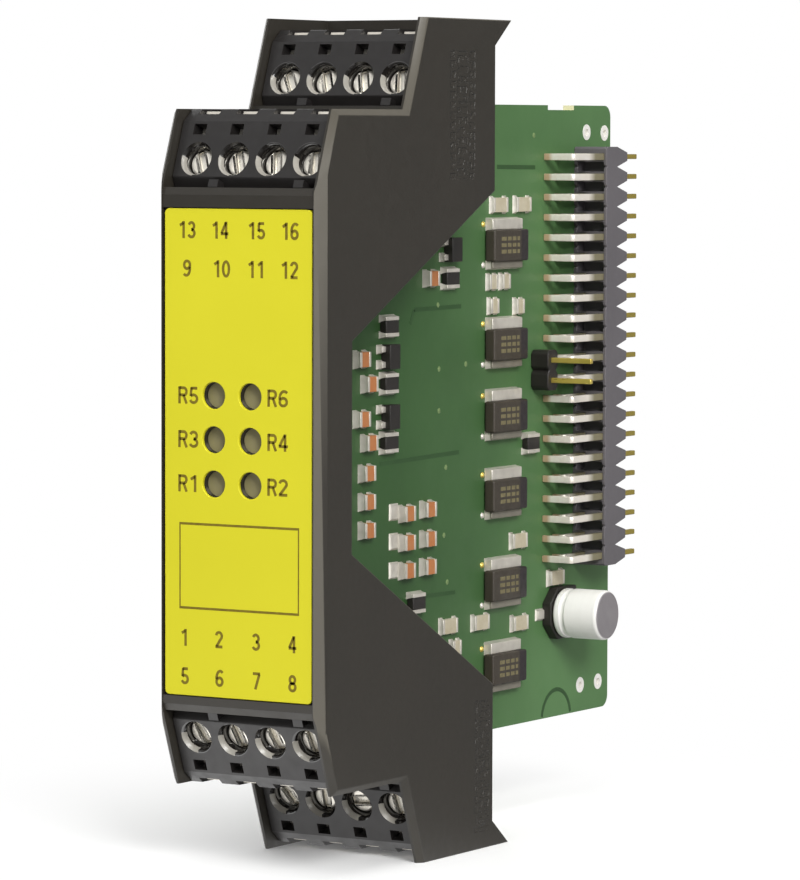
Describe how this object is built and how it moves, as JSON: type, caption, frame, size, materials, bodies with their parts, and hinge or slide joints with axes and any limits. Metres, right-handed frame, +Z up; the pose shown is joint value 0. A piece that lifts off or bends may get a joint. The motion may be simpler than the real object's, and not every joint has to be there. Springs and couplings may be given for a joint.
{
  "type": "safety controller module",
  "caption": "Slim rail module with yellow front label, indicator windows, tiered plug-in screw terminals and a circuit board with rear pin header behind its black front housing.",
  "frame": {"origin": "under the middle of the module, at the height it stands on, halfway across and halfway from front to back", "axes": "+Z up along the tall side, +X to the right seen from the front, +Y from the label to the rear pin header"},
  "size_m": [0.0226, 0.0878, 0.099],
  "materials": {
    "housing_plastic": "fine moulded texture, black",
    "label_yellow": "smooth printed plate, yellow",
    "smoked_lens": "smoked clear plastic",
    "led_case": "white LED case",
    "terminal_plastic": "moulded, dark grey black",
    "screw_nickel": "nickel plated",
    "cage_steel": "zinc plated",
    "tinned_metal": "tin plated",
    "board_green": "green solder resist on glass laminate",
    "header_plastic": "moulded black",
    "pin_metal": "tinned pins with gilt tips",
    "gold_pin": "gilt pins",
    "component_black": "moulded dark epoxy",
    "can_aluminium": "satin drawn can",
    "chip_ceramic": "tan ceramic",
    "chip_resistor": "pale coated ceramic",
    "relay_case": "moulded pale grey case"
  },
  "bodies": {
    "base": {"front_housing": "housing_plastic", "front_label": "label_yellow", "light_guides": "smoked_lens", "indicator_leds": "led_case", "terminal_header_bases": "terminal_plastic", "terminal_header_pins": "tinned_metal", "circuit_board": "board_green", "rear_header_body": "header_plastic", "rear_header_pins": "pin_metal", "jumper_header_body": "header_plastic", "jumper_header_pins": "gold_pin", "power_diodes": "component_black", "power_diode_leads": "tinned_metal", "capacitor_base": "component_black", "capacitor_can": "can_aluminium", "chip_capacitors": "chip_ceramic", "chip_resistors": "chip_resistor", "small_semiconductors": "component_black", "relays": "relay_case", "tinned_ends": "tinned_metal"},
    "plug_upper_front": {"terminal_block_upper_front": "terminal_plastic", "plug_contacts_upper_front": "tinned_metal"},
    "screw_09": {"terminal_screw_09": "screw_nickel"},
    "cage_09": {"clamp_cage_09": "cage_steel"},
    "screw_10": {"terminal_screw_10": "screw_nickel"},
    "cage_10": {"clamp_cage_10": "cage_steel"},
    "screw_11": {"terminal_screw_11": "screw_nickel"},
    "cage_11": {"clamp_cage_11": "cage_steel"},
    "screw_12": {"terminal_screw_12": "screw_nickel"},
    "cage_12": {"clamp_cage_12": "cage_steel"},
    "plug_upper_rear": {"terminal_block_upper_rear": "terminal_plastic", "plug_contacts_upper_rear": "tinned_metal"},
    "screw_13": {"terminal_screw_13": "screw_nickel"},
    "cage_13": {"clamp_cage_13": "cage_steel"},
    "screw_14": {"terminal_screw_14": "screw_nickel"},
    "cage_14": {"clamp_cage_14": "cage_steel"},
    "screw_15": {"terminal_screw_15": "screw_nickel"},
    "cage_15": {"clamp_cage_15": "cage_steel"},
    "screw_16": {"terminal_screw_16": "screw_nickel"},
    "cage_16": {"clamp_cage_16": "cage_steel"},
    "plug_lower_front": {"terminal_block_lower_front": "terminal_plastic", "plug_contacts_lower_front": "tinned_metal"},
    "screw_01": {"terminal_screw_01": "screw_nickel"},
    "cage_01": {"clamp_cage_01": "cage_steel"},
    "screw_02": {"terminal_screw_02": "screw_nickel"},
    "cage_02": {"clamp_cage_02": "cage_steel"},
    "screw_03": {"terminal_screw_03": "screw_nickel"},
    "cage_03": {"clamp_cage_03": "cage_steel"},
    "screw_04": {"terminal_screw_04": "screw_nickel"},
    "cage_04": {"clamp_cage_04": "cage_steel"},
    "plug_lower_rear": {"terminal_block_lower_rear": "terminal_plastic", "plug_contacts_lower_rear": "tinned_metal"},
    "screw_05": {"terminal_screw_05": "screw_nickel"},
    "cage_05": {"clamp_cage_05": "cage_steel"},
    "screw_06": {"terminal_screw_06": "screw_nickel"},
    "cage_06": {"clamp_cage_06": "cage_steel"},
    "screw_07": {"terminal_screw_07": "screw_nickel"},
    "cage_07": {"clamp_cage_07": "cage_steel"},
    "screw_08": {"terminal_screw_08": "screw_nickel"},
    "cage_08": {"clamp_cage_08": "cage_steel"}
  },
  "joints": [
    {"name": "plug_upper_front_slide", "type": "slide", "parent": "base", "child": "plug_upper_front", "axis": [0, -0.9397, 0.342], "range_m": [0, 0.014]},
    {"name": "screw_09_turn", "type": "hinge", "parent": "plug_upper_front", "child": "screw_09", "pos_m": [-0.00732, -0.0399, 0.0821], "axis": [0, 0.9397, -0.342], "range_deg": [0, 1368.1]},
    {"name": "cage_09_slide", "type": "slide", "parent": "plug_upper_front", "child": "cage_09", "axis": [0, -0.9397, 0.342], "range_m": [0, 0.0019]},
    {"name": "screw_10_turn", "type": "hinge", "parent": "plug_upper_front", "child": "screw_10", "pos_m": [-0.00224, -0.0399, 0.0821], "axis": [0, 0.9397, -0.342], "range_deg": [0, 1368.1]},
    {"name": "cage_10_slide", "type": "slide", "parent": "plug_upper_front", "child": "cage_10", "axis": [0, -0.9397, 0.342], "range_m": [0, 0.0019]},
    {"name": "screw_11_turn", "type": "hinge", "parent": "plug_upper_front", "child": "screw_11", "pos_m": [0.00284, -0.0399, 0.0821], "axis": [0, 0.9397, -0.342], "range_deg": [0, 1368.1]},
    {"name": "cage_11_slide", "type": "slide", "parent": "plug_upper_front", "child": "cage_11", "axis": [0, -0.9397, 0.342], "range_m": [0, 0.0019]},
    {"name": "screw_12_turn", "type": "hinge", "parent": "plug_upper_front", "child": "screw_12", "pos_m": [0.00792, -0.0399, 0.0821], "axis": [0, 0.9397, -0.342], "range_deg": [0, 1368.1]},
    {"name": "cage_12_slide", "type": "slide", "parent": "plug_upper_front", "child": "cage_12", "axis": [0, -0.9397, 0.342], "range_m": [0, 0.0019]},
    {"name": "plug_upper_rear_slide", "type": "slide", "parent": "base", "child": "plug_upper_rear", "axis": [0, -0.9397, 0.342], "range_m": [0, 0.014]},
    {"name": "screw_13_turn", "type": "hinge", "parent": "plug_upper_rear", "child": "screw_13", "pos_m": [-0.00732, -0.0211, 0.0915], "axis": [0, 0.9397, -0.342], "range_deg": [0, 1368.1]},
    {"name": "cage_13_slide", "type": "slide", "parent": "plug_upper_rear", "child": "cage_13", "axis": [0, -0.9397, 0.342], "range_m": [0, 0.0019]},
    {"name": "screw_14_turn", "type": "hinge", "parent": "plug_upper_rear", "child": "screw_14", "pos_m": [-0.00224, -0.0211, 0.0915], "axis": [0, 0.9397, -0.342], "range_deg": [0, 1368.1]},
    {"name": "cage_14_slide", "type": "slide", "parent": "plug_upper_rear", "child": "cage_14", "axis": [0, -0.9397, 0.342], "range_m": [0, 0.0019]},
    {"name": "screw_15_turn", "type": "hinge", "parent": "plug_upper_rear", "child": "screw_15", "pos_m": [0.00284, -0.0211, 0.0915], "axis": [0, 0.9397, -0.342], "range_deg": [0, 1368.1]},
    {"name": "cage_15_slide", "type": "slide", "parent": "plug_upper_rear", "child": "cage_15", "axis": [0, -0.9397, 0.342], "range_m": [0, 0.0019]},
    {"name": "screw_16_turn", "type": "hinge", "parent": "plug_upper_rear", "child": "screw_16", "pos_m": [0.00792, -0.0211, 0.0915], "axis": [0, 0.9397, -0.342], "range_deg": [0, 1368.1]},
    {"name": "cage_16_slide", "type": "slide", "parent": "plug_upper_rear", "child": "cage_16", "axis": [0, -0.9397, 0.342], "range_m": [0, 0.0019]},
    {"name": "plug_lower_front_slide", "type": "slide", "parent": "base", "child": "plug_lower_front", "axis": [0, -0.9397, -0.342], "range_m": [0, 0.014]},
    {"name": "screw_01_turn", "type": "hinge", "parent": "plug_lower_front", "child": "screw_01", "pos_m": [-0.00732, -0.0399, 0.0162], "axis": [0, 0.9397, 0.342], "range_deg": [0, 1368.1]},
    {"name": "cage_01_slide", "type": "slide", "parent": "plug_lower_front", "child": "cage_01", "axis": [0, -0.9397, -0.342], "range_m": [0, 0.0019]},
    {"name": "screw_02_turn", "type": "hinge", "parent": "plug_lower_front", "child": "screw_02", "pos_m": [-0.00224, -0.0399, 0.0162], "axis": [0, 0.9397, 0.342], "range_deg": [0, 1368.1]},
    {"name": "cage_02_slide", "type": "slide", "parent": "plug_lower_front", "child": "cage_02", "axis": [0, -0.9397, -0.342], "range_m": [0, 0.0019]},
    {"name": "screw_03_turn", "type": "hinge", "parent": "plug_lower_front", "child": "screw_03", "pos_m": [0.00284, -0.0399, 0.0162], "axis": [0, 0.9397, 0.342], "range_deg": [0, 1368.1]},
    {"name": "cage_03_slide", "type": "slide", "parent": "plug_lower_front", "child": "cage_03", "axis": [0, -0.9397, -0.342], "range_m": [0, 0.0019]},
    {"name": "screw_04_turn", "type": "hinge", "parent": "plug_lower_front", "child": "screw_04", "pos_m": [0.00792, -0.0399, 0.0162], "axis": [0, 0.9397, 0.342], "range_deg": [0, 1368.1]},
    {"name": "cage_04_slide", "type": "slide", "parent": "plug_lower_front", "child": "cage_04", "axis": [0, -0.9397, -0.342], "range_m": [0, 0.0019]},
    {"name": "plug_lower_rear_slide", "type": "slide", "parent": "base", "child": "plug_lower_rear", "axis": [0, -0.9397, -0.342], "range_m": [0, 0.014]},
    {"name": "screw_05_turn", "type": "hinge", "parent": "plug_lower_rear", "child": "screw_05", "pos_m": [-0.00732, -0.0211, 0.0068], "axis": [0, 0.9397, 0.342], "range_deg": [0, 1368.1]},
    {"name": "cage_05_slide", "type": "slide", "parent": "plug_lower_rear", "child": "cage_05", "axis": [0, -0.9397, -0.342], "range_m": [0, 0.0019]},
    {"name": "screw_06_turn", "type": "hinge", "parent": "plug_lower_rear", "child": "screw_06", "pos_m": [-0.00224, -0.0211, 0.0068], "axis": [0, 0.9397, 0.342], "range_deg": [0, 1368.1]},
    {"name": "cage_06_slide", "type": "slide", "parent": "plug_lower_rear", "child": "cage_06", "axis": [0, -0.9397, -0.342], "range_m": [0, 0.0019]},
    {"name": "screw_07_turn", "type": "hinge", "parent": "plug_lower_rear", "child": "screw_07", "pos_m": [0.00284, -0.0211, 0.0068], "axis": [0, 0.9397, 0.342], "range_deg": [0, 1368.1]},
    {"name": "cage_07_slide", "type": "slide", "parent": "plug_lower_rear", "child": "cage_07", "axis": [0, -0.9397, -0.342], "range_m": [0, 0.0019]},
    {"name": "screw_08_turn", "type": "hinge", "parent": "plug_lower_rear", "child": "screw_08", "pos_m": [0.00792, -0.0211, 0.0068], "axis": [0, 0.9397, 0.342], "range_deg": [0, 1368.1]},
    {"name": "cage_08_slide", "type": "slide", "parent": "plug_lower_rear", "child": "cage_08", "axis": [0, -0.9397, -0.342], "range_m": [0, 0.0019]}
  ],
  "couplings": [
    {"joint": "screw_09_turn", "follows": "cage_09_slide", "rad_per_m": 12566},
    {"joint": "screw_10_turn", "follows": "cage_10_slide", "rad_per_m": 12566},
    {"joint": "screw_11_turn", "follows": "cage_11_slide", "rad_per_m": 12566},
    {"joint": "screw_12_turn", "follows": "cage_12_slide", "rad_per_m": 12566},
    {"joint": "screw_13_turn", "follows": "cage_13_slide", "rad_per_m": 12566},
    {"joint": "screw_14_turn", "follows": "cage_14_slide", "rad_per_m": 12566},
    {"joint": "screw_15_turn", "follows": "cage_15_slide", "rad_per_m": 12566},
    {"joint": "screw_16_turn", "follows": "cage_16_slide", "rad_per_m": 12566},
    {"joint": "screw_01_turn", "follows": "cage_01_slide", "rad_per_m": 12566},
    {"joint": "screw_02_turn", "follows": "cage_02_slide", "rad_per_m": 12566},
    {"joint": "screw_03_turn", "follows": "cage_03_slide", "rad_per_m": 12566},
    {"joint": "screw_04_turn", "follows": "cage_04_slide", "rad_per_m": 12566},
    {"joint": "screw_05_turn", "follows": "cage_05_slide", "rad_per_m": 12566},
    {"joint": "screw_06_turn", "follows": "cage_06_slide", "rad_per_m": 12566},
    {"joint": "screw_07_turn", "follows": "cage_07_slide", "rad_per_m": 12566},
    {"joint": "screw_08_turn", "follows": "cage_08_slide", "rad_per_m": 12566}
  ]
}
